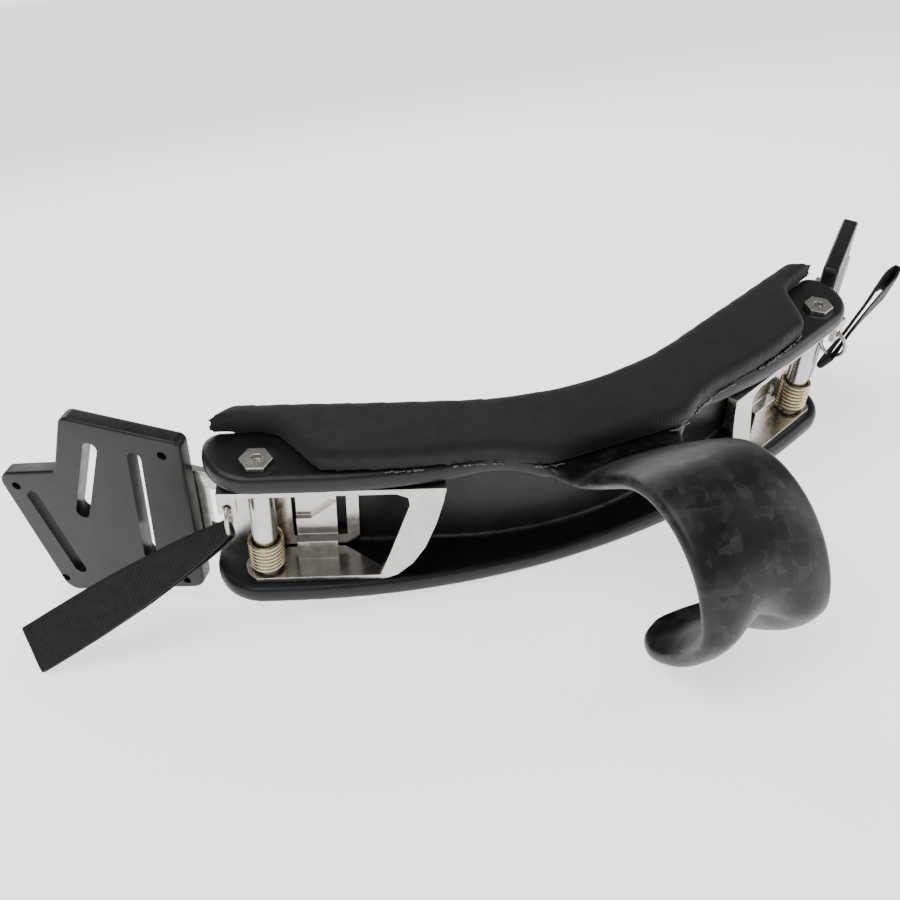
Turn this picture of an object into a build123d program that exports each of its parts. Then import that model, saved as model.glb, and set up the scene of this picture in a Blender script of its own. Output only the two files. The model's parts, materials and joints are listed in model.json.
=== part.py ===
"""Kite-harness spreader bar: a moulded channel bar with a fixed hook, a foam pad,
two spring-closed release levers and two latched strap plates.

The bar is first drawn upright: lever pins along +Z, +X along the bar, -Y towards the
hook and the lower lip's underside at z = 0.  The left end is drawn in its own arm
frame (x inboard, y back, z up, on the pin axis) and the right end mirrors it.  At the
end everything leans forward onto the points that the bar rests on: the front of the
lower lip and the lowest corners of the two strap plates.
All sizes are in millimetres and all angles in degrees.
"""

from build123d import *
import os
from math import atan2, cos, degrees, radians, sin, sqrt

# ---------------------------------------------------------------- the bar
PIN_X = 130.0             # half the distance between the two lever pins
SWEEP = 20.5              # how far each arm is swept back from the X axis
BAR_H = 68.0              # height of the channel over both lips
UPPER_LIP_T = 8.5
LOWER_LIP_T = 8.2
WEB_T = 4.0
REAR = 18.5               # back of the web, behind the pin axis
REAR_MID_Y = -18.6        # back of the web at the middle of the bar
LIP_FRONT = 10.5          # front edge of the lips, ahead of the pin axis
LIP_MID_Y = -37.5         # front edge of the lips at the middle of the bar
WEB_END = -8.0            # the web stops here, outboard of the pin
LOWER_FRONT = 12.5        # the lower lip reaches further forward
LOWER_MID_Y = -38.0
EAR_X = -1.5              # where the ear's rounded corner starts
EAR_R = 20.0              # front corner of the rounded ear
EAR_BACK_R = 8.0          # back corner of the rounded ear
LIP_ROUND = 3.0           # rounding along the free edges of the lips

# ---------------------------------------------------------------- the hook
HOOK_W = 24.8             # half width of the hook band
HOOK_START = 43.6         # where the band starts to climb, ahead of the pin line
HOOK_WALK = (             # bend radius or None, turn or length, steps
    (None, 9.0, 2),
    (22.0, 43.0, 4),
    (None, 30.5, 2),
    (35.0, -118.0, 9),
    (14.0, -35.0, 3),
    (60.0, -45.0, 6),
    (15.0, -30.0, 3),
)
HOOK_PROFILE = (          # distance along, half width, middle, shoulder, belly, edge
    (0.0, 24.8, 4.0, 3.9, 4.4, 3.4),
    (60.0, 24.8, 5.5, 5.1, 4.4, 3.3),
    (110.0, 24.8, 4.8, 4.8, 4.6, 3.2),
    (122.0, 24.8, 2.5, 4.2, 5.6, 3.2),
    (130.0, 24.8, -2.0, 2.6, 7.4, 3.2),
    (138.0, 24.8, -6.0, 0.6, 9.2, 3.1),
    (156.0, 24.8, -6.3, -0.4, 9.2, 3.0),
    (173.0, 24.8, -2.0, 0.5, 5.6, 2.8),
    (181.0, 22.4, 0.3, 0.9, 4.6, 2.5),
    (187.0, 18.2, 1.0, 1.2, 3.8, 2.2),
    (190.0, 13.5, 1.2, 1.2, 3.3, 2.0),
    (192.5, 8.0, 1.2, 1.2, 2.8, 1.7),
)
FLARE_R = 32.0            # concave flare from the lip into the hook
FLARE_U = 63.5            # where the flare meets the band's side
FLARE_STOP = 44.0         # the flat lip ends here, under the band

# ---------------------------------------------------------------- the foam pad
PAD_T = 8.5
PAD_REAR_T = 6.5
PAD_LOW = 7.0             # lower edge of the foam on the back
PAD_MID_Y = -45.0         # front of the foam at the middle of the bar
PAD_ROUND = 2.5

# ---------------------------------------------------------------- pins and bolts
PIN_R = 5.0               # steel sleeve that the lever turns on
BOLT_R = 3.0
BOLT_CLEAR = 0.1
RUN_CLEAR = 0.06          # radial clearance of the lever on its sleeve
HEAD_R = 6.5              # bolt head across its corners, halved
HEAD_T = 2.5
HEAD_POCKET = 0.5
KEY_R = 2.4
NUT_R = 5.8
NUT_T = 4.0
NUT_POCKET = 4.4

# ---------------------------------------------------------------- the levers
SHEET = 2.5
LEVER_GAP = 0.3           # lever plate to lip
LEVER_FRONT = 8.0         # lever's front face, ahead of the pin axis
LEVER_BACK = 9.0
LEVER_END_R = 9.0
LEVER_TAPER_X = 31.0      # both flats narrow inboard of here
LEVER_TIP_Y = -3.5
LEVER_TOP_LEN = 71.0
LEVER_LOW_LEN = 47.0
GRIP_IN_TOP = 57.0        # inner edge of the grip bar under the top plate
TAB_X = (-15.5, -8.5)     # ring tab at the outboard end of the top plate
TAB_LOW = 48.5
TAB_HOLE = (-12.0, 52.0)  # x and height of the ring's hole
TAB_HOLE_R = 1.7
PAWL_X = (12.0, 28.6)
PAWL_Y = (6.5, 13.4)
PAWL_ROOT_Y = 9.0         # back of the pawl above and below the tongue's window
PAWL_HOOK_Z = (18.0, 47.0)
PAWL_STEP = (2.0, 21.0)   # front and top of the pawl's lower step
RING_R = 6.2
RING_WIRE = 1.8

# ---------------------------------------------------------------- tongue and strap plate
TONGUE_T = 3.0
TONGUE_Y = 9.5            # front face of the tongue, behind the pin axis
TONGUE_END = 37.4
TONGUE_Z = (12.0, 51.0)
TONGUE_WINDOW_X = (10.5, 32.2)
TONGUE_WINDOW_Z = (17.0, 48.0)
OUTER_WINDOW = (119.0, 125.0)
PLATE_SWEEP = 40.3        # sweep of the strap plate from the X axis
PLATE_FACE = 87.0         # front plane of the strap plate, from the bar's centre
PLATE_T = 7.3
PLATE_IN = 129.0          # inner end of the strap plate along its plane
TONGUE_OUT = 152.0        # outer end of the tongue behind the plate
SLOT_W = 6.0
PLATE_HOLE_R = 2.0
SCREW_R = 2.0
SCREW_HEAD_R = 3.7
PLATE_HOLES = ((137.2, 62.8), (137.2, -9.0), (209.4, 25.5), (198.6, -28.4))
SLOTS = (                 # top and bottom of each webbing slot
    ((168.0, 60.5), (181.0, 16.0)),
    ((149.6, 61.0), (152.2, -1.5)),
    ((203.6, 24.5), (188.6, -21.5)),
)
SCREW_AT = ((134.0, 24.0), (134.0, 41.0), (145.0, 24.0), (145.0, 41.0))

# ---------------------------------------------------------------- spring and pull strap
SPRING_R = 7.4
SPRING_WIRE = 2.1
SPRING_TURNS = 8
STRAP_T = 3.2             # two layers of webbing
STRAP_W = 20.0

# ---------------------------------------------------------------- the resting pose
REST_TILT = 20.30         # forward lean
REST_LIFT = 12.33         # height of the upright bar's origin above the surface
REST_SHIFT = 42.61        # brings the middle of the resting bar to y = 0
REST_ASIDE = 3.63         # brings its middle to x = 0, as the left pull reaches further out

LOWER_TOP = LOWER_LIP_T
UPPER_LOW = BAR_H - UPPER_LIP_T
LEVER_LOW = LOWER_TOP + LEVER_GAP
LEVER_HIGH = UPPER_LOW - LEVER_GAP
C = cos(radians(SWEEP))
S = sin(radians(SWEEP))
DIAGONAL = sqrt(0.5)


# ---------------------------------------------------------------- frames and helpers
def left_arm(shape):
    """Moves a shape from the arm frame to the left end of the upright bar."""
    return Pos(-PIN_X, 0, 0) * Rot(0, 0, -SWEEP) * shape


def left_point(x, y):
    """A point of the arm frame in the upright bar's plan."""
    return (-PIN_X + x * C + y * S, -x * S + y * C)


def mirrored(shape):
    return mirror(shape, about=Plane.YZ)


def flipped(point):
    return (-point[0], point[1])


def at_rest(shape):
    """Leans the upright bar forward onto the surface that it rests on."""
    return Pos(REST_ASIDE, REST_SHIFT, REST_LIFT) * Rot(REST_TILT, 0, 0) * shape


def prism(edges, low, high):
    """A straight prism on a closed outline drawn in the XY plane."""
    return extrude(Pos(0, 0, low) * make_face(edges), amount=high - low)


def rod(radius, low, high, x=0.0, y=0.0):
    return Pos(x, y, (low + high) / 2) * Cylinder(radius, high - low)


def block(xs, ys, zs):
    centre = [(a + b) / 2 for a, b in (xs, ys, zs)]
    return Pos(*centre) * Box(xs[1] - xs[0], ys[1] - ys[0], zs[1] - zs[0])


def hex_prism(radius, low, high):
    return Pos(0, 0, low) * extrude(RegularPolygon(radius, 6), amount=high - low)


def arm_tangent(back, middle_y):
    """Where the left arm's straight line at a setback meets the middle arc."""
    apex = (back - PIN_X * S) / C
    radius = (middle_y - apex) / (1 / C - 1)
    return (-radius * S, middle_y + radius * (1 - C))


def ear_edges(front):
    """Left ear, from the front line round to the back line."""
    r = EAR_R
    corner = (EAR_X, r - front)
    tail = (EAR_X - r + EAR_BACK_R, REAR - EAR_BACK_R)
    start = left_point(EAR_X, -front)
    side = left_point(EAR_X - r, corner[1])
    side_end = left_point(EAR_X - r, tail[1])
    end = left_point(tail[0], REAR)
    front_mid = left_point(corner[0] - r * DIAGONAL, corner[1] - r * DIAGONAL)
    q = EAR_BACK_R * DIAGONAL
    return [
        ThreePointArc(start, front_mid, side),
        Line(side, side_end),
        ThreePointArc(side_end, left_point(tail[0] - q, tail[1] + q), end),
    ]


# ---------------------------------------------------------------- the moulded bar
def lip_outline(front, front_edges):
    """Outline of a lip: given front edges, two ears, straight backs, rear arc."""
    rear = arm_tangent(REAR, REAR_MID_Y)
    ear = ear_edges(front)
    ear_back = ear[-1] @ 1
    edges = list(front_edges) + ear + [mirrored(edge) for edge in ear]
    edges.append(Line(ear_back, rear))
    edges.append(ThreePointArc(rear, (0, REAR_MID_Y), flipped(rear)))
    edges.append(mirrored(Line(ear_back, rear)))
    return edges


def lower_lip():
    tangent = arm_tangent(-LOWER_FRONT, LOWER_MID_Y)
    start = left_point(EAR_X, -LOWER_FRONT)
    edges = [Line(start, tangent), ThreePointArc(tangent, (0, LOWER_MID_Y), flipped(tangent))]
    edges.append(Line(flipped(tangent), flipped(start)))
    return prism(lip_outline(LOWER_FRONT, edges), 0, LOWER_LIP_T)


def flare_width(u):
    """Half width of the flare at a distance u ahead of the pin line."""
    drop = max(FLARE_U - u, 0.0)
    return HOOK_W + FLARE_R - sqrt(FLARE_R ** 2 - drop ** 2)


def upper_lip():
    tangent = arm_tangent(-LIP_FRONT, LIP_MID_Y)
    start = left_point(EAR_X, -LIP_FRONT)
    crest = (-flare_width(FLARE_U - FLARE_R), FLARE_R - FLARE_U)
    middle = (-flare_width(38.0), -38.0)
    toe = (-flare_width(FLARE_STOP), -FLARE_STOP)
    half = [
        Line(start, tangent),
        Spline(tangent, crest, tangents=[(C, -S), (1, -0.12)]),
        ThreePointArc(crest, middle, toe),
    ]
    edges = half + [mirrored(edge) for edge in half] + [Line(toe, flipped(toe))]
    return prism(lip_outline(LIP_FRONT, edges), UPPER_LOW, BAR_H)


def web():
    """Rear wall of the channel."""
    inner_mid = REAR_MID_Y - WEB_T
    outer = arm_tangent(REAR, REAR_MID_Y)
    inner = arm_tangent(REAR - WEB_T, inner_mid)
    outer_end = left_point(WEB_END, REAR)
    inner_end = left_point(WEB_END, REAR - WEB_T)
    half = [Line(outer, outer_end), Line(outer_end, inner_end), Line(inner_end, inner)]
    edges = half + [mirrored(edge) for edge in half]
    edges.append(ThreePointArc(outer, (0, REAR_MID_Y), flipped(outer)))
    edges.append(ThreePointArc(inner, (0, inner_mid), flipped(inner)))
    return prism(edges, 0, BAR_H)


def rounded_front(lip):
    """Rounds the free top and bottom edges of a lip, but not its rear edges."""
    def is_free(edge):
        point = edge @ 0.5
        x = -abs(point.X)
        back = (x + PIN_X) * S + point.Y * C
        on_rear = back > REAR - 1.0 or (abs(x) < 60 and point.Y > REAR_MID_Y - 1.0)
        return not on_rear

    flat = lip.faces().sort_by(Axis.Z)
    edges = [e for face in (flat[0], flat[-1]) for e in face.edges() if is_free(e)]
    return fillet(edges, LIP_ROUND)


def hook_stations():
    """Walks along the band's edge line: distance ahead, height, direction, distance along."""
    u, z = HOOK_START - HOOK_WALK[0][1], BAR_H - UPPER_LIP_T / 2
    heading, along = 0.0, 0.0
    stations = [(u, z, heading, along)]
    for radius, amount, count in HOOK_WALK:
        turn = amount / count if radius else 0.0
        for _ in range(count):
            step = 2 * radius * sin(radians(abs(turn) / 2)) if radius else amount / count
            middle = radians(heading + turn / 2)
            u += step * cos(middle)
            z += step * sin(middle)
            heading += turn
            along += step
            stations.append((u, z, heading, along))
    return stations


def hook_profile(along):
    """Half width, outer face at middle and shoulder, inner face and edge of the band."""
    rows = list(zip(HOOK_PROFILE, HOOK_PROFILE[1:]))
    low, high = next((pair for pair in rows if along <= pair[1][0]), rows[-1])
    t = min((along - low[0]) / (high[0] - low[0]), 1.0)
    return [a + (b - a) * t for a, b in zip(low[1:], high[1:])]


def blend(value, start, end):
    """Smooth step from 0 to 1 as value goes from start to end."""
    t = min(max((value - start) / (end - start), 0.0), 1.0)
    return t * t * (3 - 2 * t)


def hook_section(u, z, heading, profile):
    """Cross-section of the band: shaped outer face, crowned inner face, round edges."""
    width, middle, shoulder, belly, edge = profile
    plane = Plane(origin=(0, -u, z), x_dir=(1, 0, 0),
                  z_dir=(0, -cos(radians(heading)), sin(radians(heading))))
    side = width - edge
    outline = [
        Spline((-side, edge), (-side / 2, shoulder), (0, middle), (side / 2, shoulder),
               (side, edge)),
        ThreePointArc((side, edge), (width, 0), (side, -edge)),
        ThreePointArc((side, -edge), (0, -belly), (-side, -edge)),
        ThreePointArc((-side, -edge), (-width, 0), (-side, edge)),
    ]
    return plane * make_face(outline)


def hook():
    """The hook band, one smooth body from inside the upper lip to its curled end."""
    sections = []
    for u, z, heading, along in hook_stations():
        width, middle, shoulder, belly, edge = hook_profile(along)
        if heading >= 0:
            root = blend(u, 32.0, 70.0)
            middle = 2.6 + (middle - 2.6) * root
            shoulder = 2.4 + (shoulder - 2.4) * root
            belly = 2.6 + (belly - 2.6) * root
            edge = 1.8 + (edge - 1.8) * root
            width = flare_width(max(u, FLARE_STOP)) - (1.0 if u < FLARE_STOP else 0.0)
        sections.append(hook_section(u, z, heading, (width, middle, shoulder, belly, edge)))
    return loft(sections)


def bar_shell():
    shell = rounded_front(lower_lip()) + rounded_front(upper_lip()) + web() + hook()
    for place in (left_arm, lambda s: mirrored(left_arm(s))):
        shell -= place(rod(BOLT_R + BOLT_CLEAR, -1, BAR_H + 1))
        shell -= place(rod(HEAD_R + 0.7, BAR_H - HEAD_POCKET, BAR_H + 1))
        shell -= place(rod(NUT_R + 0.7, -1, NUT_POCKET))
    return shell


# ---------------------------------------------------------------- the foam pad
def pad_front():
    """Left half of the foam's front edge, and its curve round the bolt."""
    notch = left_point(24.2, -6.8)
    tip = left_point(-19.5, 16.4)
    bend = left_point(1.2, 15.0)
    edges = [Line((0, PAD_MID_Y), (-24, PAD_MID_Y))]
    edges.append(Spline((-24, PAD_MID_Y), (-42, -37.6), (-62, -30.6), (-90, -22.6), notch,
                        tangents=[(-1, 0), (-C, S)]))
    edges.append(Spline(notch, left_point(13.1, 6.4), left_point(7.1, 13.0), bend,
                        tangents=[(-C * 0.6, 0.9), (-C, S)]))
    edges.append(Line(bend, tip))
    return edges


def foam_pad():
    back = REAR + PAD_REAR_T
    back_mid = REAR_MID_Y + PAD_REAR_T
    corner = left_point(-10.4, back)
    tangent = arm_tangent(back, back_mid)
    half = pad_front()
    half.append(Line(half[-1] @ 1, corner))
    half.append(Line(corner, tangent))
    edges = half + [mirrored(edge) for edge in half]
    edges.append(ThreePointArc(tangent, (0, back_mid), flipped(tangent)))
    top = prism(edges, BAR_H, BAR_H + PAD_T)
    crown = top.faces().sort_by(Axis.Z)[-1]
    top = fillet(crown.edges(), PAD_ROUND)
    inner = arm_tangent(REAR, REAR_MID_Y)
    ends = [left_point(WEB_END, back), left_point(WEB_END, REAR)]
    half = [Line(tangent, ends[0]), Line(ends[0], ends[1]), Line(ends[1], inner)]
    edges = half + [mirrored(edge) for edge in half]
    edges.append(ThreePointArc(tangent, (0, back_mid), flipped(tangent)))
    edges.append(ThreePointArc(inner, (0, REAR_MID_Y), flipped(inner)))
    return top + prism(edges, PAD_LOW, BAR_H + 1.0)


# ---------------------------------------------------------------- pins and fasteners
def pivot_bolt():
    head_low = BAR_H - HEAD_POCKET
    bolt = hex_prism(HEAD_R, head_low, head_low + HEAD_T) + rod(BOLT_R, 0.5, head_low)
    return bolt - hex_prism(KEY_R, head_low + 0.4, head_low + HEAD_T + 1)


def pivot_sleeve():
    return rod(PIN_R, LOWER_TOP, UPPER_LOW) - rod(BOLT_R + BOLT_CLEAR, 0, BAR_H)


def pivot_nut():
    nut = hex_prism(NUT_R, NUT_POCKET - NUT_T, NUT_POCKET)
    return nut - rod(BOLT_R + BOLT_CLEAR / 2, -1, NUT_POCKET + 1)


def torsion_spring():
    """Close-wound coil, as a stack of wire rings on a thin core."""
    middle = SPRING_R - SPRING_WIRE / 2
    base = LEVER_LOW + SHEET + 0.3
    top = base + SPRING_TURNS * SPRING_WIRE
    coil = rod(middle, base + 0.5, top - 0.5) - rod(PIN_R + 0.25, base, top)
    for turn in range(SPRING_TURNS):
        height = base + (turn + 0.5) * SPRING_WIRE
        coil += Pos(0, 0, height) * Torus(middle, SPRING_WIRE / 2 + 0.03)
    return coil


# ---------------------------------------------------------------- the release lever
def lever_plate(length, low):
    """One flat of the lever, tapering inboard, with its round end on the pin."""
    start = -sqrt(LEVER_END_R ** 2 - LEVER_FRONT ** 2)
    edges = [
        Line((start, -LEVER_FRONT), (length, -LEVER_FRONT)),
        Line((length, -LEVER_FRONT), (length, LEVER_TIP_Y)),
        Line((length, LEVER_TIP_Y), (LEVER_TAPER_X, LEVER_BACK)),
        Line((LEVER_TAPER_X, LEVER_BACK), (0, LEVER_BACK)),
        ThreePointArc((0, LEVER_BACK), (-LEVER_END_R, 0), (start, -LEVER_FRONT)),
    ]
    return prism(edges, low, low + SHEET)


def front_wall(points):
    """A wall in the lever's front face from an outline of x and height."""
    face = make_face(Polyline(*points, close=True))
    wall = extrude(face, amount=SHEET)
    return Pos(0, -LEVER_FRONT + SHEET, 0) * Rot(90, 0, 0) * wall


def grip_bar():
    high = LEVER_HIGH
    return front_wall([
        (GRIP_IN_TOP - 5.0, high), (LEVER_TOP_LEN, high), (70.2, 52.0), (67.6, 40.0),
        (63.6, 27.0), (58.6, 17.5), (52.5, 11.0), (LEVER_LOW_LEN, LEVER_LOW),
        (43.5, LEVER_LOW), (45.5, 11.5), (49.5, 24.0), (54.2, 40.0), (57.2, 50.5),
        (56.6, 54.5), (GRIP_IN_TOP - 5.0, high - SHEET),
    ])


def release_lever():
    top = lever_plate(LEVER_TOP_LEN, LEVER_HIGH - SHEET)
    low = lever_plate(LEVER_LOW_LEN, LEVER_LOW)
    ear = block((TAB_X[0], 2.0), (-LEVER_FRONT, 1.0), (LEVER_HIGH - SHEET, LEVER_HIGH))
    tab = block(TAB_X, (-LEVER_FRONT, -LEVER_FRONT + SHEET), (TAB_LOW, LEVER_HIGH))
    lever = top + low + grip_bar() + ear + tab
    lever -= rod(PIN_R + RUN_CLEAR, 0, BAR_H)
    hole = Pos(TAB_HOLE[0], -LEVER_FRONT, TAB_HOLE[1]) * Rot(90, 0, 0)
    return lever - hole * Cylinder(TAB_HOLE_R, 4 * SHEET)


def latch_pawl():
    """Wedge between the lever's flats: ramp outboard, steep face inboard."""
    x0, x1 = PAWL_X
    y0, y1 = PAWL_Y
    low = LEVER_LOW + SHEET
    high = LEVER_HIGH - SHEET
    plan = [(x0, y0), (x1, y0), (x1, y1), (x1 - 5.0, y1), (x0, y0 + 3.0)]
    pawl = prism(Polyline(*plan, close=True), low, high)
    pawl += block(PAWL_X, (PAWL_STEP[0], y0 + 1.0), (low, PAWL_STEP[1]))
    beyond = (x0 - 1, x1 + 1)
    pawl -= block(beyond, (PAWL_ROOT_Y, y1 + 1), (low - 1, PAWL_HOOK_Z[0]))
    pawl -= block(beyond, (PAWL_ROOT_Y, y1 + 1), (PAWL_HOOK_Z[1], high + 1))
    dent = [(x0 - 1, 30.0), (x0 + 6.0, 30.0), (x1 + 1, 40.0), (x0 - 1, 44.0)]
    cut = extrude(make_face(Polyline(*dent, close=True)), amount=10)
    return pawl - Pos(0, y0 + 2.2, 0) * Rot(90, 0, 0) * cut


def pull_ring():
    centre = (TAB_HOLE[0], -LEVER_FRONT + SHEET / 2, TAB_HOLE[1] - RING_R)
    return Pos(*centre) * Rot(0, 90, 0) * Torus(RING_R, RING_WIRE / 2)


# ---------------------------------------------------------------- tongue and strap plate
PLATE_PLANE = Plane(
    origin=(-PLATE_FACE * sin(radians(PLATE_SWEEP)), -PLATE_FACE * cos(radians(PLATE_SWEEP)), 0),
    x_dir=(-cos(radians(PLATE_SWEEP)), sin(radians(PLATE_SWEEP)), 0),
    z_dir=(sin(radians(PLATE_SWEEP)), cos(radians(PLATE_SWEEP)), 0),
)


def behind_face(shape, depth=0.0):
    """Places a shape drawn in (along, height) on the left strap plate, going back."""
    return PLATE_PLANE.offset(depth) * shape


def slot_cut(top, bottom):
    """A webbing slot between two end points, as a cutter through the plate."""
    run = Vector(bottom[0] - top[0], bottom[1] - top[1])
    turn = degrees(atan2(run.Y, run.X))
    slot = SlotOverall(run.length, SLOT_W)
    middle = Pos((top[0] + bottom[0]) / 2, (top[1] + bottom[1]) / 2, -1)
    return middle * Rot(0, 0, turn) * extrude(slot, amount=PLATE_T + 2)


def strap_plate():
    """Black plate with three webbing slots and a hole in each corner."""
    corners = [(PLATE_IN, 71.0), (180.0, 71.0), (188.8, 39.5), (218.0, 29.8),
               (198.7, -37.1), (PLATE_IN, -11.0)]
    radii = [3.0, 5.0, 3.0, 6.0, 6.0, 8.0]
    outline = Polyline(*corners, close=True)
    face = make_face(outline)
    for corner, radius in zip(corners, radii):
        vertex = face.vertices().sort_by_distance((corner[0], corner[1], 0))[0]
        face = fillet(vertex, radius)
    plate = extrude(face, amount=PLATE_T)
    rims = plate.faces().sort_by(Axis.Z)
    plate = fillet(rims[0].edges() + rims[-1].edges(), 1.2)
    for top, bottom in SLOTS:
        plate -= slot_cut(top, bottom)
    for u, height in PLATE_HOLES:
        plate -= Pos(u, height, PLATE_T / 2) * Cylinder(PLATE_HOLE_R, 2 * PLATE_T)
    for u, height in SCREW_AT:
        plate -= Pos(u, height, PLATE_T - 2.5) * Cylinder(SCREW_R, 5.0)
    return behind_face(plate)


def tongue():
    """Bent steel tongue: flat behind the pin, then turned along the strap plate."""
    low, high = TONGUE_Z
    inner = block((-16.0, TONGUE_END), (TONGUE_Y, TONGUE_Y + TONGUE_T), TONGUE_Z)
    inner -= block(TONGUE_WINDOW_X, (0, 20), TONGUE_WINDOW_Z)
    outer = Pos((TONGUE_OUT + 108.0) / 2, (low + high) / 2, TONGUE_T / 2)
    outer = outer * Box(TONGUE_OUT - 108.0, high - low, TONGUE_T)
    outer -= block(OUTER_WINDOW, ((low + high) / 2 - 11.0, (low + high) / 2 + 11.0), (-10, 10))
    for u, height in SCREW_AT:
        outer -= Pos(u, height, 0) * Cylinder(SCREW_R + 0.1, 20)
        outer -= Pos(u, height, TONGUE_T - 0.5) * Cylinder(SCREW_HEAD_R + 0.2, 3.0)
    outer = behind_face(outer, PLATE_T)
    inboard = Pos(bend_position(), TONGUE_Y, 0) * Rot(0, 0, (SWEEP - PLATE_SWEEP) / 2)
    inboard = inboard * block((0, 80), (-40, 60), (0, BAR_H))
    return left_arm(inner & inboard) + (outer - left_arm(inboard))


def bend_position():
    """Where the tongue's front face turns onto the back of the strap plate."""
    tilt = radians(PLATE_SWEEP - SWEEP)
    pin_to_face = PLATE_FACE - PIN_X * sin(radians(PLATE_SWEEP))
    behind = PLATE_T - pin_to_face
    return (behind - TONGUE_Y * cos(tilt)) / sin(tilt)


def plate_screws():
    """Flat-headed screws that hold the tongue to the strap plate."""
    screws = []
    for u, height in SCREW_AT:
        shank = Pos(u, height, PLATE_T + TONGUE_T / 2 - 2.2) * Cylinder(SCREW_R - 0.1, 5.6)
        head = Pos(u, height, PLATE_T + TONGUE_T - 0.3) * Cylinder(SCREW_HEAD_R, 1.6)
        socket = Pos(u, height, PLATE_T + TONGUE_T + 0.4) * Cylinder(1.2, 1.6)
        screws.append(behind_face(shank + head - socket))
    return screws


# ---------------------------------------------------------------- pull straps
def strap(route):
    """A folded webbing pull, as flat stretches between hand-placed stations.

    Each station gives a point of the arm frame, the strap's width and thickness there
    and how far the width direction is turned up from level.
    """
    sections = []
    for i, (x, y, z, width, thick, lean) in enumerate(route):
        ahead = route[min(i + 1, len(route) - 1)]
        behind = route[max(i - 1, 0)]
        tangent = Vector(ahead[0] - behind[0], ahead[1] - behind[1], ahead[2] - behind[2])
        side = Vector(0, -cos(radians(lean)), sin(radians(lean)))
        side = side - tangent * (side.dot(tangent) / tangent.dot(tangent))
        plane = Plane(origin=(x, y, z), x_dir=side, z_dir=tangent)
        sections.append(plane * Rectangle(width, thick))
    return loft(sections)


LEFT_PULL = [
    (-15.6, -7.6, 37.2, 9.0, 5.0, -20.0),
    (-28.0, -10.7, 30.5, 13.0, 5.0, -28.0),
    (-46.0, -15.1, 20.2, 17.0, 4.4, -34.0),
    (-64.0, -19.5, 10.0, 19.5, STRAP_T, -38.0),
    (-78.0, -22.9, 2.0, STRAP_W, STRAP_T, -39.0),
    (-92.6, -26.5, -6.2, STRAP_W, STRAP_T, -39.0),
]
RIGHT_PULL = [
    (-15.6, -6.4, 38.6, 9.0, 5.0, 60.0),
    (-29.0, -4.8, 40.6, 14.0, 5.0, 70.0),
    (-47.0, -2.6, 43.6, 17.0, 5.0, 76.0),
    (-64.0, -0.4, 45.0, 18.0, 6.0, 78.0),
    (-76.0, 1.4, 45.2, 18.0, 7.0, 78.0),
    (-86.0, 3.0, 45.0, 18.0, 5.0, 78.0),
]


# ---------------------------------------------------------------- writing the parts
def both_ends(name, shape):
    """The same piece at the left end and, mirrored, at the right end."""
    return {name + "_left": shape, name + "_right": mirrored(shape)}


def all_parts():
    parts = {"bar_shell": bar_shell(), "foam_pad": foam_pad()}
    for name, make in (("pivot_bolt", pivot_bolt), ("pivot_sleeve", pivot_sleeve),
                       ("pivot_nut", pivot_nut), ("torsion_spring", torsion_spring),
                       ("release_lever", release_lever), ("latch_pawl", latch_pawl),
                       ("pull_ring", pull_ring)):
        parts.update(both_ends(name, left_arm(make())))
    parts.update(both_ends("tongue", tongue()))
    parts.update(both_ends("strap_plate", strap_plate()))
    screws = plate_screws()
    parts["plate_screws_left"] = Compound(children=screws)
    parts["plate_screws_right"] = Compound(children=[mirrored(s) for s in screws])
    parts["pull_strap_left"] = left_arm(strap(LEFT_PULL))
    parts["pull_strap_right"] = mirrored(left_arm(strap(RIGHT_PULL)))
    return parts


def main():
    os.makedirs("parts", exist_ok=True)
    for name, shape in all_parts().items():
        export_step(at_rest(shape), f"parts/{name}.step")


if __name__ == "__main__":
    main()
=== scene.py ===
"""Kite-harness spreader bar, dressed for the camera.

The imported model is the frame.  Soft and moulded parts are rebuilt from their own CAD
surfaces, steel parts get broken edges, the springs become real coils and the pulls
become folded woven webbing.  Lengths named in MM below are millimetres of the upright
bar: x inboard along an arm, y back, z up along its lever pin.
"""

import bmesh
import bpy
import json
import math
import random
from mathutils import Matrix, Vector, noise


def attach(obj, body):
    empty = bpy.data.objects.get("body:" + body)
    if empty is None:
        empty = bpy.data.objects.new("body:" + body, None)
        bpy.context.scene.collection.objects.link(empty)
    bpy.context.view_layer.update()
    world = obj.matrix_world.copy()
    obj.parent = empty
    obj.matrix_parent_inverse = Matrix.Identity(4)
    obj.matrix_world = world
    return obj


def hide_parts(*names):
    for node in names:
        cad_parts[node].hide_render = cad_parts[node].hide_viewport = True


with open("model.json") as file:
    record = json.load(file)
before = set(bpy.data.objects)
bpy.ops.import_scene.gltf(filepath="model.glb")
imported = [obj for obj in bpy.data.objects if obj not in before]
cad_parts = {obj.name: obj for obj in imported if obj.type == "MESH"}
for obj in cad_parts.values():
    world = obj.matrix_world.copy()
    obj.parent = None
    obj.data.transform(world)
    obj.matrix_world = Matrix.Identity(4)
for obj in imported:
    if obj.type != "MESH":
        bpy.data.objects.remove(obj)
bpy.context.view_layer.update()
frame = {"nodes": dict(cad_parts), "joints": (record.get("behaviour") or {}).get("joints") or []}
nodes = frame["nodes"]

MM = 0.001
SWEEP = math.radians(20.5)        # how far each arm is swept back
BAR_H = 68.0
SIDES = ("left", "right")

SHELL_VOXEL = 1.0 * MM
FOAM_VOXEL = 1.5 * MM
STEEL_EDGE = 0.45 * MM

COIL_R = 6.35
COIL_WIRE = 0.92
COIL_LOW = 12.4
COIL_HIGH = 27.0
COIL_TURNS = 7.4

FLOOR_REACH = 400.0               # metres
FLOOR_GLOW = 1.4
WORLD_LIGHT = 0.32
HORIZON = 6.5                     # how much brighter the surroundings are at the horizon

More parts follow.
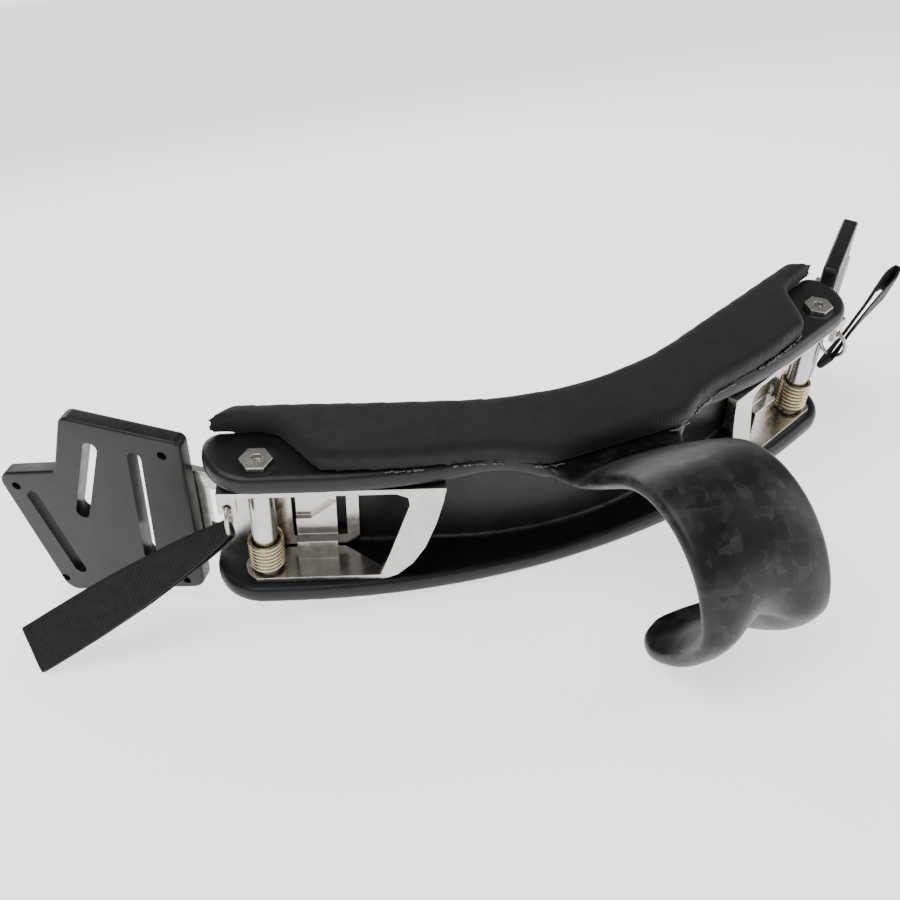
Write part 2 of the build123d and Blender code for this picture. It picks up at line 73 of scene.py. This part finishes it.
WEBBING_W = 20.0
WEBBING_T = 1.5                   # one layer
RIB_ALONG = 1.5                   # pitch of the weave along the webbing
RIB_ACROSS = 1.55
RIB_HEIGHT = 0.16
TURN_STEPS = 8                    # parts of the half turn between the layers
ROUTE_STEPS = 170                 # stations along one layer
BAND_COLUMNS = 40                 # faces across the webbing

LEFT_PULL = (                     # x, y, z, width, gap between layers, lean
    (-12.6, -6.8, 39.2, 8.0, 2.6, -16.0),
    (-17.0, -8.0, 36.5, 10.0, 2.6, -20.0),
    (-28.0, -10.7, 30.5, 13.5, 2.2, -28.0),
    (-46.0, -15.1, 20.2, 17.5, 1.9, -34.0),
    (-64.0, -19.5, 10.0, 19.5, 1.6, -38.0),
    (-78.0, -22.9, 2.0, 20.0, 1.6, -39.0),
    (-92.4, -26.4, -6.1, 20.0, 1.6, -39.0),
)
RIGHT_PULL = (
    (-8.4, -7.4, 37.6, 9.0, 2.4, 60.0),
    (-13.0, -6.6, 38.0, 11.0, 2.6, 64.0),
    (-22.0, -5.5, 39.6, 13.0, 2.4, 70.0),
    (-34.0, -4.2, 41.6, 15.0, 2.0, 74.0),
    (-52.0, -2.0, 44.1, 16.0, 3.0, 76.0),
    (-67.0, 0.1, 45.0, 16.0, 4.4, 78.0),
    (-75.0, 1.3, 45.2, 16.0, 5.0, 78.0),
    (-81.0, 2.2, 45.0, 16.0, 3.2, 78.0),
)


# ---------------------------------------------------------------- places
def joint(name):
    return next(j for j in frame["joints"] if j["name"] == name)


def arm_matrix(side):
    """Arm frame in millimetres to the row frame in metres, read off the lever's hinge."""
    hinge = joint(f"lever_{side}_swing")
    sign = 1.0 if side == "left" else -1.0
    up = Vector(hinge["axis"]) * -sign
    along = Vector((1.0, 0.0, 0.0))
    back = up.cross(along).normalized()
    x_axis = along * (sign * math.cos(SWEEP)) - back * math.sin(SWEEP)
    y_axis = along * (sign * math.sin(SWEEP)) + back * math.cos(SWEEP)
    origin = Vector(hinge["pos_m"]) - up * (BAR_H / 2 * MM)
    columns = [axis * MM for axis in (x_axis, y_axis, up)]
    matrix = Matrix.Identity(4)
    for row in range(3):
        for column in range(3):
            matrix[row][column] = columns[column][row]
        matrix[row][3] = origin[row]
    return matrix


ARM = {side: arm_matrix(side) for side in SIDES}
BAR_UP = Vector((ARM["left"][0][2], ARM["left"][1][2], ARM["left"][2][2])).normalized()
BAR_BACK = BAR_UP.cross(Vector((1.0, 0.0, 0.0))).normalized()
PIN_LINE = (ARM["left"].to_translation() + ARM["right"].to_translation()) / 2


def upright(point):
    """A row-frame point in the upright bar's frame, in metres."""
    offset = point - PIN_LINE
    return Vector((offset.x, offset.dot(BAR_BACK), offset.dot(BAR_UP)))


def leaned(x, y, z):
    """A point of the upright bar, in millimetres, in the row frame."""
    return PIN_LINE + (Vector((x, 0, 0)) + BAR_BACK * y + BAR_UP * z) * MM


def add_object(name, data):
    obj = bpy.data.objects.new(name, data)
    bpy.context.scene.collection.objects.link(obj)
    return obj


def mesh_object(name, vertices, faces):
    mesh = bpy.data.meshes.new(name)
    mesh.from_pydata([tuple(v) for v in vertices], [], faces)
    mesh.update()
    return add_object(name, mesh)


def finish_piece(obj, body, material, slot, *replaced):
    """Gives a piece its material, its body and what it stands for; its slot is not used."""
    obj.data.materials.clear()
    obj.data.materials.append(material)
    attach(obj, body)
    if replaced:
        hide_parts(*replaced)
    return obj


def welded_copy(node, name):
    """A new object with a node's surface, its split corners joined again."""
    mesh = nodes[node].data.copy()
    mesh.name = name
    obj = add_object(name, mesh)
    bm = bmesh.new()
    bm.from_mesh(mesh)
    bmesh.ops.remove_doubles(bm, verts=bm.verts, dist=0.00001)
    bm.to_mesh(mesh)
    bm.free()
    if mesh.has_custom_normals:
        with bpy.context.temp_override(object=obj, active_object=obj):
            bpy.ops.mesh.customdata_custom_splitnormals_clear()
    return obj


def smooth_above(mesh, degrees):
    mesh.polygons.foreach_set("use_smooth", [True] * len(mesh.polygons))
    mesh.set_sharp_from_angle(angle=math.radians(degrees))


def apply_modifiers(obj):
    """Replaces an object's mesh by what its modifiers make of it."""
    graph = bpy.context.evaluated_depsgraph_get()
    mesh = bpy.data.meshes.new_from_object(obj.evaluated_get(graph))
    obj.modifiers.clear()
    old = obj.data
    obj.data = mesh
    bpy.data.meshes.remove(old)


# ---------------------------------------------------------------- shader helpers
class Shader:
    """A small wrapper round one material's node tree."""

    def __init__(self, name, **constants):
        self.material = bpy.data.materials.new(name)
        self.material.use_nodes = True
        self.tree = self.material.node_tree
        self.surface = self.tree.nodes["Principled BSDF"]
        for key, value in constants.items():
            self.surface.inputs[key.replace("_", " ")].default_value = value
        coordinates = self.tree.nodes.new("ShaderNodeTexCoord")
        self.place = coordinates.outputs["Object"]

    def link(self, output, socket):
        self.tree.links.new(output, socket)

    def noise(self, scale, detail=4.0, roughness=0.55):
        node = self.tree.nodes.new("ShaderNodeTexNoise")
        node.inputs["Scale"].default_value = scale
        node.inputs["Detail"].default_value = detail
        node.inputs["Roughness"].default_value = roughness
        self.link(self.place, node.inputs["Vector"])
        return node.outputs["Fac"]

    def cells(self, scale, stretch, turn):
        node = self.tree.nodes.new("ShaderNodeTexVoronoi")
        node.inputs["Scale"].default_value = scale
        self.link(self.mapped(stretch, turn), node.inputs["Vector"])
        return node.outputs["Color"]

    def mapped(self, stretch, turn):
        node = self.tree.nodes.new("ShaderNodeMapping")
        node.inputs["Scale"].default_value = stretch
        node.inputs["Rotation"].default_value = turn
        self.link(self.place, node.inputs["Vector"])
        return node.outputs["Vector"]

    def bands(self, scale):
        """Ribs that follow one another along X."""
        node = self.tree.nodes.new("ShaderNodeTexWave")
        node.wave_type = "BANDS"
        node.bands_direction = "X"
        node.inputs["Scale"].default_value = scale
        node.inputs["Distortion"].default_value = 0.35
        node.inputs["Detail"].default_value = 1.0
        self.link(self.place, node.inputs["Vector"])
        return node.outputs["Fac"]

    def scaled(self, value, low, high, out_low, out_high):
        node = self.tree.nodes.new("ShaderNodeMapRange")
        node.inputs["From Min"].default_value = low
        node.inputs["From Max"].default_value = high
        node.inputs["To Min"].default_value = out_low
        node.inputs["To Max"].default_value = out_high
        self.link(value, node.inputs["Value"])
        return node.outputs["Result"]

    def math(self, kind, first, second):
        node = self.tree.nodes.new("ShaderNodeMath")
        node.operation = kind
        for socket, value in zip(node.inputs, (first, second)):
            if isinstance(value, (int, float)):
                socket.default_value = value
            else:
                self.link(value, socket)
        return node.outputs["Value"]

    def ramp(self, value, *stops):
        node = self.tree.nodes.new("ShaderNodeValToRGB")
        elements = node.color_ramp.elements
        while len(elements) < len(stops):
            elements.new(0.5)
        for element, (position, colour) in zip(elements, stops):
            element.position = position
            element.color = (*colour, 1.0)
        self.link(value, node.inputs["Fac"])
        return node.outputs["Color"]

    def mix(self, share, first, second):
        node = self.tree.nodes.new("ShaderNodeMix")
        node.data_type = "RGBA"
        self.link(share, node.inputs["Factor"])
        self.link(first, node.inputs["A"])
        self.link(second, node.inputs["B"])
        return node.outputs["Result"]

    def attribute(self, name):
        node = self.tree.nodes.new("ShaderNodeAttribute")
        node.attribute_name = name
        return node.outputs["Fac"]

    def colour(self, output):
        self.link(output, self.surface.inputs["Base Color"])

    def roughness(self, value, low, high):
        self.link(self.scaled(value, 0.3, 0.7, low, high), self.surface.inputs["Roughness"])

    def bump(self, height, strength, distance):
        node = self.tree.nodes.new("ShaderNodeBump")
        node.inputs["Strength"].default_value = strength
        node.inputs["Distance"].default_value = distance
        self.link(height, node.inputs["Height"])
        previous = self.surface.inputs["Normal"].links
        if previous:
            self.link(previous[0].from_socket, node.inputs["Normal"])
        self.link(node.outputs["Normal"], self.surface.inputs["Normal"])


# ---------------------------------------------------------------- materials
def composite():
    """Satin black moulding that turns into chopped carbon towards the hook."""
    s = Shader("satin_composite", Specular_IOR_Level=0.33)
    clouds = s.noise(38, 5)
    plain = s.ramp(clouds, (0.3, (0.0032, 0.0034, 0.0038)), (0.72, (0.0068, 0.0072, 0.0079)))
    wide = s.cells(300, (1.0, 0.55, 0.55), (0.35, 0.0, 0.5))
    crossed = s.cells(330, (0.55, 1.0, 1.0), (0.35, 0.0, -0.3))
    chips = s.math("MULTIPLY", wide, crossed)
    flakes = s.ramp(chips, (0.12, (0.0035, 0.0037, 0.0041)), (0.3, (0.0098, 0.0104, 0.0113)),
                    (0.85, (0.034, 0.036, 0.038)))
    s.colour(s.mix(s.attribute("hook_zone"), plain, flakes))
    s.roughness(s.noise(90, 6, 0.7), 0.3, 0.44)
    s.bump(s.noise(1500, 2, 0.6), 0.05, 0.0002)
    s.bump(s.noise(60, 4), 0.05, 0.001)
    return s.material


def foam():
    """Matt black foam with fine ribs running from front to back."""
    s = Shader("ribbed_foam", Specular_IOR_Level=0.2, Sheen_Weight=0.08,
               Sheen_Roughness=0.5, Sheen_Tint=(0.7, 0.74, 0.8, 1.0))
    fade = s.noise(20, 4)
    s.colour(s.ramp(fade, (0.3, (0.0045, 0.0047, 0.0051)), (0.75, (0.0095, 0.0099, 0.0106))))
    s.roughness(s.noise(160, 5), 0.56, 0.74)
    s.bump(s.bands(190), 0.22, 0.0003)
    s.bump(s.noise(2600, 2, 0.7), 0.3, 0.0002)
    return s.material


def glue():
    s = Shader("glue_bead", Specular_IOR_Level=0.65, Coat_Weight=0.6, Coat_Roughness=0.08)
    s.colour(s.ramp(s.noise(700, 3), (0.35, (0.007, 0.007, 0.008)), (0.7, (0.03, 0.03, 0.032))))
    s.roughness(s.noise(500, 3), 0.1, 0.32)
    return s.material


def stainless(name, low, high, gloss=(0.13, 0.27)):
    """Polished steel with a faint grain, soft stains and small handling marks."""
    s = Shader(name, Metallic=1.0)
    stain = s.noise(70, 6, 0.6)
    s.colour(s.ramp(stain, (0.28, low), (0.7, high)))
    s.roughness(s.noise(260, 6, 0.7), *gloss)
    s.bump(s.noise(900, 3, 0.6), 0.06, 0.0002)
    s.bump(s.noise(120, 3), 0.08, 0.0005)
    return s.material


def anodised():
    """Satin black anodised plate with a fine grain and light rubbing."""
    s = Shader("black_anodised", Metallic=0.2, Specular_IOR_Level=0.34)
    rubbed = s.noise(45, 6, 0.65)
    s.colour(s.ramp(rubbed, (0.3, (0.0042, 0.0044, 0.0048)), (0.78, (0.0095, 0.0098, 0.0104))))
    s.roughness(s.noise(140, 6, 0.7), 0.27, 0.42)
    s.bump(s.noise(2200, 2, 0.6), 0.07, 0.0002)
    s.bump(s.noise(55, 3), 0.06, 0.0008)
    return s.material


def webbing():
    """Coarse black polyester webbing; its ribs are in the mesh, and its colour is painted shade,
    darker in their valleys and at the band's edges.
    """
    s = Shader("black_webbing", Specular_IOR_Level=0.28, Sheen_Weight=0.1, Sheen_Roughness=0.4,
               Sheen_Tint=(0.6, 0.64, 0.75, 1.0))
    # painted shade: the webbing's colour darkens in the valleys between its ribs and along its
    # edges
    rib = s.attribute("weave_shade")
    s.colour(s.ramp(rib, (0.1, (0.0015, 0.0015, 0.0019)), (0.85, (0.0125, 0.0127, 0.0148))))
    s.roughness(s.noise(320, 4), 0.5, 0.72)
    s.bump(s.noise(3200, 3, 0.7), 0.5, 0.0003)
    return s.material


COMPOSITE = composite()
FOAM = foam()
GLUE = glue()
STEEL = stainless("polished_stainless", (0.47, 0.455, 0.43), (0.64, 0.62, 0.585))
BOLT_STEEL = stainless("bolt_stainless", (0.36, 0.35, 0.335), (0.52, 0.505, 0.48), (0.2, 0.36))
SPRING_STEEL = stainless("spring_wire", (0.36, 0.30, 0.19), (0.55, 0.475, 0.33), (0.2, 0.34))
ANODISED = anodised()
WEBBING = webbing()


# ---------------------------------------------------------------- the moulded bar
def smooth_zone(obj, name, weight, passes):
    """Softens the part of a mesh where weight(vertex) is above zero."""
    group = obj.vertex_groups.new(name=name)
    for vertex in obj.data.vertices:
        share = weight(upright(vertex.co))
        if share > 0.01:
            group.add([vertex.index], share, "REPLACE")
    modifier = obj.modifiers.new(name, "SMOOTH")
    modifier.vertex_group = name
    modifier.factor = 0.5
    modifier.iterations = passes


def near_root(point):
    """High where the hook grows out of the upper lip."""
    across = max(abs(point.x) - 0.034, 0.0) / 0.022
    ahead = abs(point.y + 0.050) / 0.026
    high = max(0.052 - point.z, 0.0) / 0.006
    return max(0.0, 1.0 - max(across, ahead ** 2, high))


def hook_share(point):
    """From 0 on the bar to 1 on the hook, with a ragged border."""
    wander = noise.noise(point * 90) * 0.012
    ahead = (-point.y - 0.036 + wander) / 0.022
    across = (0.062 - abs(point.x) + wander) / 0.02
    return max(0.0, min(1.0, ahead, across))


def shell():
    obj = welded_copy("bar_shell", "moulded_bar")
    remesh = obj.modifiers.new("remesh", "REMESH")
    remesh.mode = "VOXEL"
    remesh.voxel_size = SHELL_VOXEL
    remesh.use_smooth_shade = True
    apply_modifiers(obj)
    smooth_zone(obj, "root", near_root, 30)
    overall = obj.modifiers.new("overall", "SMOOTH")
    overall.factor = 0.5
    overall.iterations = 3
    apply_modifiers(obj)
    zone = obj.data.attributes.new("hook_zone", "FLOAT", "POINT")
    zone.data.foreach_set("value", [hook_share(upright(v.co)) for v in obj.data.vertices])
    finish_piece(obj, "bar", COMPOSITE, "shell", "bar_shell")


def foam_pad():
    obj = welded_copy("foam_pad", "foam_cover")
    remesh = obj.modifiers.new("remesh", "REMESH")
    remesh.mode = "VOXEL"
    remesh.voxel_size = FOAM_VOXEL
    remesh.use_smooth_shade = True
    soft = obj.modifiers.new("soft", "SMOOTH")
    soft.factor = 0.5
    soft.iterations = 3
    apply_modifiers(obj)
    places = [(v.co.copy(), v.normal.copy()) for v in obj.data.vertices]
    moved = []
    for place, normal in places:
        ripple = noise.noise(place * 45) + 0.4 * noise.noise(place * 150)
        moved.extend(place - normal * (0.00012 + 0.00012 * ripple))
    obj.data.vertices.foreach_set("co", moved)
    obj.data.update()
    finish_piece(obj, "bar", FOAM, "foam", "foam_pad")


def foam_front_line():
    """The foam's lower front edge, where it is glued to the bar, from left to right."""
    low, high = BAR_H * MM - 0.0006, (BAR_H + 1.5) * MM
    points = [upright(v.co) for v in nodes["foam_pad"].data.vertices]
    rim = [p for p in points if low < p.z < high]
    step = 0.006
    line = []
    for i in range(-20, 21):
        near = [p for p in rim if abs(p.x - i * step) < step * 0.6 and p.y < 0.0]
        if near:
            line.append(min(near, key=lambda p: p.y))
    return [leaned(p.x / MM, p.y / MM, BAR_H) for p in line]


def glue_line():
    """Small beads of squeezed-out glue along the foam's front edge."""
    random.seed(7)
    bm = bmesh.new()
    line = foam_front_line()
    for start, end in zip(line, line[1:]):
        middle_x = (start.x + end.x) / 2
        for _ in range(11):
            spot = start.lerp(end, random.random())
            patchy = noise.noise(Vector((spot.x * 70, 3.1, 0)))
            if patchy < -0.12 or not -0.085 < middle_x < 0.118:
                continue
            radius = random.uniform(0.25, 0.75) * MM
            centre = spot - BAR_BACK * random.uniform(0.0, 0.7) * MM + BAR_UP * 0.1 * MM
            squash = Matrix.Diagonal((random.uniform(1.0, 1.9), 1.0, 0.7, 1.0))
            place = Matrix.Translation(centre) @ squash
            bmesh.ops.create_icosphere(bm, subdivisions=2, radius=radius, matrix=place)
    mesh = bpy.data.meshes.new("glue_beads")
    bm.to_mesh(mesh)
    bm.free()
    smooth_above(mesh, 80)
    finish_piece(add_object("glue_beads", mesh), "bar", GLUE, "shell")


# ---------------------------------------------------------------- steel and plates
def broken_edges(node, name, width, body, material, slot):
    """A node's surface with its sharp edges rounded over."""
    obj = welded_copy(node, name)
    bm = bmesh.new()
    bm.from_mesh(obj.data)
    bmesh.ops.dissolve_limit(bm, angle_limit=math.radians(0.6), verts=bm.verts, edges=bm.edges)
    bm.to_mesh(obj.data)
    bm.free()
    bevel = obj.modifiers.new("bevel", "BEVEL")
    bevel.width = width
    bevel.segments = 3
    bevel.limit_method = "ANGLE"
    bevel.angle_limit = math.radians(40)
    bevel.use_clamp_overlap = True
    apply_modifiers(obj)
    smooth_above(obj.data, 38)
    normals = obj.modifiers.new("normals", "WEIGHTED_NORMAL")
    normals.keep_sharp = True
    finish_piece(obj, body, material, slot, node)


def coil(side):
    """A real helix round the pivot sleeve, its tube capped at both ends."""
    steps = int(COIL_TURNS * 40)
    ring = 10
    vertices, faces = [], []
    for i in range(steps + 1):
        share = i / steps
        turn = 2 * math.pi * COIL_TURNS * share
        height = COIL_LOW + (COIL_HIGH - COIL_LOW) * share
        outward = Vector((math.cos(turn), math.sin(turn), 0.0))
        for k in range(ring):
            angle = 2 * math.pi * k / ring
            point = outward * (COIL_R + COIL_WIRE * math.cos(angle))
            point.z = height + COIL_WIRE * math.sin(angle)
            vertices.append(ARM[side] @ point)
    for i in range(steps):
        for k in range(ring):
            a, b = i * ring + k, i * ring + (k + 1) % ring
            faces.append((a, b, b + ring, a + ring))
    faces.append(tuple(reversed(range(ring))))
    faces.append(tuple(range(steps * ring, (steps + 1) * ring)))
    obj = mesh_object(f"coil_spring_{side}", vertices, faces)
    smooth_above(obj.data, 60)
    finish_piece(obj, "bar", SPRING_STEEL, "spring", f"torsion_spring_{side}")


# ---------------------------------------------------------------- webbing pulls
def smooth_route(rows, steps):
    """Catmull-Rom stations along a pull's given rows."""
    stations = []
    last = len(rows) - 1
    for i in range(steps + 1):
        place = i / steps * last
        k = min(int(place), last - 1)
        t = place - k
        a, b, c, d = (rows[min(max(k + n, 0), last)] for n in (-1, 0, 1, 2))
        weights = (-t / 2 + t * t - t ** 3 / 2, 1 - 2.5 * t * t + 1.5 * t ** 3,
                   t / 2 + 2 * t * t - 1.5 * t ** 3, (t ** 3 - t * t) / 2)
        stations.append([sum(w * row[n] for w, row in zip(weights, (a, b, c, d)))
                         for n in range(6)])
    return stations


def webbing_path(stations):
    """Out along the lower layer, round the end and back along the upper one."""
    path = []
    for i, (x, y, z, width, gap, lean) in enumerate(stations):
        ahead = stations[min(i + 1, len(stations) - 1)]
        behind = stations[max(i - 1, 0)]
        tangent = (Vector(ahead[:3]) - Vector(behind[:3])).normalized()
        lean = math.radians(lean)
        side = Vector((0.0, -math.cos(lean), math.sin(lean)))
        side = (side - tangent * side.dot(tangent)).normalized()
        face = side.cross(tangent).normalized()
        path.append((Vector((x, y, z)), tangent, side, face, width, gap))
    return path


def half_turn(entry, sign):
    """Where the webbing goes round, from one layer to the other."""
    centre, tangent, side, face, width, gap = entry
    turn = []
    for k in range(1, TURN_STEPS):
        angle = math.pi * k / TURN_STEPS
        step = face * math.cos(angle) - tangent * math.sin(angle)
        turn.append((centre + step * (sign * gap / 2), side, width))
    return turn


def looped_layers(path, closed_end):
    """Centre line, width direction and width of the folded webbing, layer by layer."""
    def offset(entry, sign):
        centre, _, side, face, width, gap = entry
        return (centre + face * (sign * gap / 2), side, width)

    out = [offset(entry, -1.0) for entry in path]
    home = [offset(entry, 1.0) for entry in reversed(path)]
    line = home + half_turn(path[0], 1.0) + out
    return line + half_turn(path[-1], -1.0) if closed_end else line


def woven_band(name, line, side_name):
    """A thin woven band along a line of (centre, width direction, width)."""
    columns = BAND_COLUMNS
    lengths = [0.0]
    for (a, _, _), (b, _, _) in zip(line, line[1:]):
        lengths.append(lengths[-1] + (b - a).length)
    vertices, weave_shade = [], []
    for layer in (1.0, -1.0):
        for i, (centre, side, width) in enumerate(line):
            ahead = line[min(i + 1, len(line) - 1)][0]
            behind = line[max(i - 1, 0)][0]
            tangent = (ahead - behind).normalized()
            face = side.cross(tangent).normalized()
            along = lengths[i]
            for j in range(columns + 1):
                across = (j / columns - 0.5) * WEBBING_W
                row = round(along / RIB_ALONG)
                shift = 0.5 if row % 2 else 0.0
                rib = math.sin(math.pi * along / RIB_ALONG) ** 2
                strand = math.sin(math.pi * (across / RIB_ACROSS + shift)) ** 2
                height = rib * (0.35 + 0.65 * strand)
                edge = 1.0 - (2 * abs(across) / WEBBING_W) ** 8
                thick = (WEBBING_T / 2 - RIB_HEIGHT) * (0.45 + 0.55 * edge)
                lift = layer * (thick + RIB_HEIGHT * height * edge)
                bow = 0.25 * noise.noise(Vector((along * 0.07, across * 0.1, 2.0)))
                point = centre + side * (across * width / WEBBING_W) + face * (lift + bow)
                vertices.append(ARM[side_name] @ point)
                # painted shade: low in the valleys between the ribs and at the band's edges,
                # high on the rib tops
                weave_shade.append(height * (0.5 + 0.5 * edge))
    faces = band_faces(len(line), columns)
    obj = mesh_object(name, vertices, faces)
    obj.data.attributes.new("weave_shade", "FLOAT", "POINT").data.foreach_set("value", weave_shade)
    smooth_above(obj.data, 70)
    return obj


def band_faces(rows, columns):
    """Top, bottom, long edges and both ends of a band with two layers of vertices."""
    wide = columns + 1
    under = rows * wide
    faces = []
    for i in range(rows - 1):
        for j in range(columns):
            a = i * wide + j
            faces.append((a, a + 1, a + wide + 1, a + wide))
            faces.append((under + a, under + a + wide, under + a + wide + 1, under + a + 1))
        for j in (0, columns):
            a = i * wide + j
            quad = (a, a + wide, under + a + wide, under + a)
            faces.append(quad if j == 0 else quad[::-1])
    for i in (0, rows - 1):
        for j in range(columns):
            a = i * wide + j
            quad = (a, under + a, under + a + 1, a + 1)
            faces.append(quad if i == 0 else quad[::-1])
    return faces


def pull(side, rows, closed_end):
    stations = smooth_route(rows, ROUTE_STEPS)
    line = looped_layers(webbing_path(stations), closed_end)
    obj = woven_band(f"webbing_pull_{side}", line, side)
    finish_piece(obj, f"pull_{side}", WEBBING, "webbing", f"pull_strap_{side}")


# ---------------------------------------------------------------- floor, light, camera
def surroundings():
    """A dim room that brightens to white at the horizon, where it meets the floor."""
    world = bpy.data.worlds.new("studio")
    world.use_nodes = True
    tree = world.node_tree
    direction = tree.nodes.new("ShaderNodeTexCoord").outputs["Generated"]
    split = tree.nodes.new("ShaderNodeSeparateXYZ")
    tree.links.new(direction, split.inputs["Vector"])
    height = tree.nodes.new("ShaderNodeMapRange")
    height.inputs["From Min"].default_value = 0.05
    height.inputs["From Max"].default_value = 0.3
    height.inputs["To Min"].default_value = WORLD_LIGHT * HORIZON
    height.inputs["To Max"].default_value = WORLD_LIGHT
    tree.links.new(split.outputs["Z"], height.inputs["Value"])
    background = tree.nodes["Background"]
    background.inputs["Color"].default_value = (1, 1, 1, 1)
    tree.links.new(height.outputs["Result"], background.inputs["Strength"])
    bpy.context.scene.world = world


def stage():
    """A white floor that glows a little, so that it stays white under dim surroundings."""
    reach = FLOOR_REACH
    corners = ((-reach, -reach), (reach, -reach), (reach, reach), (-reach, reach))
    floor = mesh_object("floor", [(x, y, -0.4 * MM) for x, y in corners], [(0, 1, 2, 3)])
    s = Shader("pale_floor", Roughness=0.9, Emission_Strength=FLOOR_GLOW,
               Emission_Color=(1.0, 1.0, 1.0, 1.0))
    s.colour(s.ramp(s.noise(3, 2), (0.3, (0.86, 0.86, 0.86)), (0.7, (0.88, 0.88, 0.88))))
    floor.data.materials.append(s.material)
    surroundings()


def lamp(name, place, target, size, power):
    data = bpy.data.lights.new(name, "AREA")
    data.shape = "RECTANGLE"
    data.size, data.size_y = size
    data.energy = power
    obj = add_object(name, data)
    obj.location = place
    obj.rotation_euler = (Vector(target) - Vector(place)).to_track_quat("-Z", "Y").to_euler()


def camera():
    """From the left, 43 degrees above the upright bar."""
    azimuth, elevation, roll = (math.radians(a) for a in (-25.61, 42.64, 1.99))
    back = Vector((math.sin(azimuth) * math.cos(elevation),
                   -math.cos(azimuth) * math.cos(elevation), math.sin(elevation)))
    right = Vector((math.cos(azimuth), math.sin(azimuth), 0.0))
    up = back.cross(right)
    right, up = (right * math.cos(roll) + up * math.sin(roll),
                 up * math.cos(roll) - right * math.sin(roll))
    axes = [Vector((v.x, 0, 0)) + BAR_BACK * v.y + BAR_UP * v.z for v in (right, up, back)]
    data = bpy.data.cameras.new("camera")
    data.sensor_width = 36.0
    data.lens = 36.0 * 1123.5 / 900.0
    data.clip_start = 0.01
    data.clip_end = 2000.0
    obj = add_object("camera", data)
    matrix = Matrix.Identity(4)
    for column, axis in enumerate(axes):
        for row in range(3):
            matrix[row][column] = axis[row]
    matrix.translation = leaned(-196.3, -305.5, 357.5)
    obj.matrix_world = matrix
    bpy.context.scene.camera = obj


def steel_parts():
    for side in SIDES:
        lever, buckle = f"lever_{side}", f"buckle_{side}"
        broken_edges(f"release_lever_{side}", f"lever_{side}_steel", STEEL_EDGE, lever,
                     STEEL, "steel")
        broken_edges(f"latch_pawl_{side}", f"pawl_{side}_steel", STEEL_EDGE, lever,
                     STEEL, "steel")
        broken_edges(f"tongue_{side}", f"tongue_{side}_steel", 0.35 * MM, buckle,
                     STEEL, "steel")
        broken_edges(f"plate_screws_{side}", f"screws_{side}_steel", 0.25 * MM, buckle,
                     BOLT_STEEL, "steel")
        broken_edges(f"pivot_bolt_{side}", f"bolt_{side}_steel", 0.35 * MM, "bar",
                     BOLT_STEEL, "steel")
        broken_edges(f"pivot_nut_{side}", f"nut_{side}_steel", 0.3 * MM, "bar",
                     BOLT_STEEL, "steel")
        for node, body, material, slot in (
                ("pivot_sleeve", "bar", STEEL, "steel"),
                ("pull_ring", f"pull_{side}", BOLT_STEEL, "steel"),
                ("strap_plate", buckle, ANODISED, "anodised")):
            obj = welded_copy(f"{node}_{side}", f"{node}_{side}_finished")
            smooth_above(obj.data, 32)
            finish_piece(obj, body, material, slot, f"{node}_{side}")


shell()
foam_pad()
glue_line()
steel_parts()
for end in SIDES:
    coil(end)
pull("left", LEFT_PULL, False)
pull("right", RIGHT_PULL, True)
stage()
lamp("key", (-0.5, -0.3, 1.1), (0, 0, 0.04), (0.9, 0.9), 10.0)
lamp("side", (1.2, -0.5, 0.7), (0, 0, 0.04), (0.5, 1.0), 6.0)
lamp("rear", (0.1, 1.2, 0.9), (0, 0, 0.04), (1.6, 0.5), 10.0)
camera()
